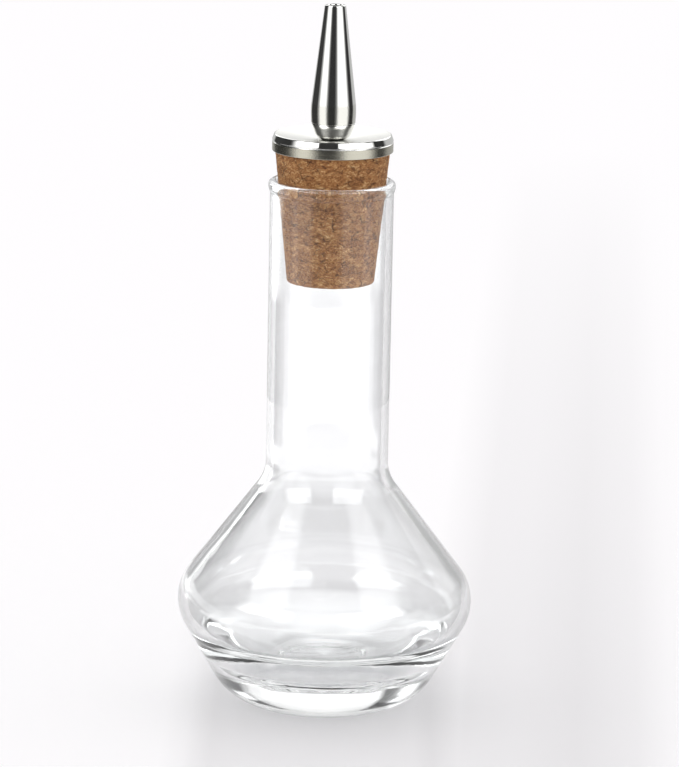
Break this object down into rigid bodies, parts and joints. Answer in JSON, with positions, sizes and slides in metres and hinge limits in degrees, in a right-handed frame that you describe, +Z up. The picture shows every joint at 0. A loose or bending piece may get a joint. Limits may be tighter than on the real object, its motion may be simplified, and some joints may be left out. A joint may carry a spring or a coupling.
{
  "type": "bitters bottle",
  "caption": "Small clear glass dasher bottle with a conical body, straight neck, tapered cork and steel dasher spout.",
  "frame": {"origin": "centre of the bottle's resting plane", "axes": "+Z up along the bottle's axis; the object is round, so X and Y are free"},
  "size_m": [0.066, 0.066, 0.1575],
  "materials": {
    "clear_glass": "clear, fire polished",
    "cork": "pressed cork granules, matte",
    "steel_cap": "polished stainless steel, satin skirt",
    "steel_stem": "plain drawn stainless steel tube",
    "steel_spout": "polished stainless steel"
  },
  "bodies": {
    "bottle": {"glass_bottle": "clear_glass"},
    "stopper": {"cork_stopper": "cork", "cap_disc": "steel_cap", "stem_tube": "steel_stem", "spout_collar": "steel_spout", "dasher_spout": "steel_spout"}
  },
  "joints": [
    {"name": "stopper_lift", "type": "slide", "parent": "bottle", "child": "stopper", "axis": [0, 0, 1], "range_m": [0, 0.03]}
  ]
}
